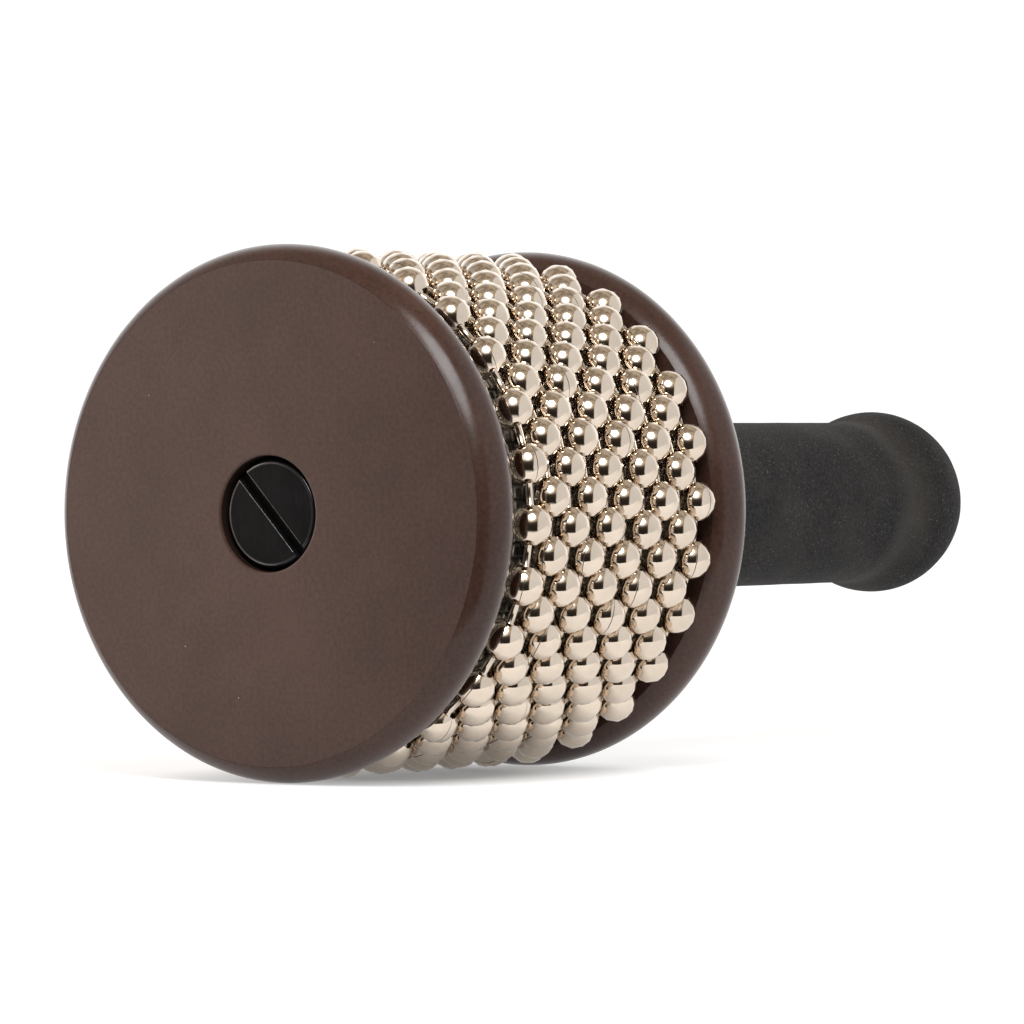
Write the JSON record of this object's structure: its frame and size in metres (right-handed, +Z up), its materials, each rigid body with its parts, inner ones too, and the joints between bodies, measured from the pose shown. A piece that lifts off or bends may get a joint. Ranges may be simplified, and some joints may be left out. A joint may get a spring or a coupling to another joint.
{
  "type": "cabasa",
  "caption": "Hand percussion cabasa: loops of steel ball chain round a sleeved drum between two painted wooden discs, on a foam-gripped handle.",
  "frame": {"origin": "on the surface that the two disc rims lie on, under the middle of the whole length", "axes": "+X along the drum and handle axis, from the front disc to the tip of the grip; +Z up"},
  "size_m": [0.1974, 0.085, 0.085],
  "materials": {
    "disc_paint": "satin brown paint on wood",
    "core_wood": "turned, unfinished",
    "sleeve_steel": "embossed sheet",
    "bead_steel": "bright nickel plate",
    "link_steel": "bright nickel plate",
    "black_bolt": "black oxide, satin",
    "insert_brass": "machined",
    "grip_foam": "matte foam rubber"
  },
  "bodies": {
    "root": {"front_disc": "disc_paint", "back_disc": "disc_paint", "core_drum": "core_wood", "steel_sleeve": "sleeve_steel", "clamp_bolt": "black_bolt", "handle_core": "core_wood", "thread_insert": "insert_brass", "foam_grip": "grip_foam"},
    "bead_chains": {"chain_beads_01": "bead_steel", "chain_beads_02": "bead_steel", "chain_beads_03": "bead_steel", "chain_beads_04": "bead_steel", "chain_beads_05": "bead_steel", "chain_beads_06": "bead_steel", "chain_beads_07": "bead_steel", "chain_beads_08": "bead_steel", "chain_beads_09": "bead_steel", "chain_beads_10": "bead_steel", "chain_links_01": "link_steel", "chain_links_02": "link_steel", "chain_links_03": "link_steel", "chain_links_04": "link_steel", "chain_links_05": "link_steel", "chain_links_06": "link_steel", "chain_links_07": "link_steel", "chain_links_08": "link_steel", "chain_links_09": "link_steel", "chain_links_10": "link_steel"}
  },
  "joints": [
    {"name": "chains_spin", "type": "hinge", "parent": "root", "child": "bead_chains", "pos_m": [0, 0, 0.0425], "axis": [1, 0, 0], "continuous": true}
  ]
}
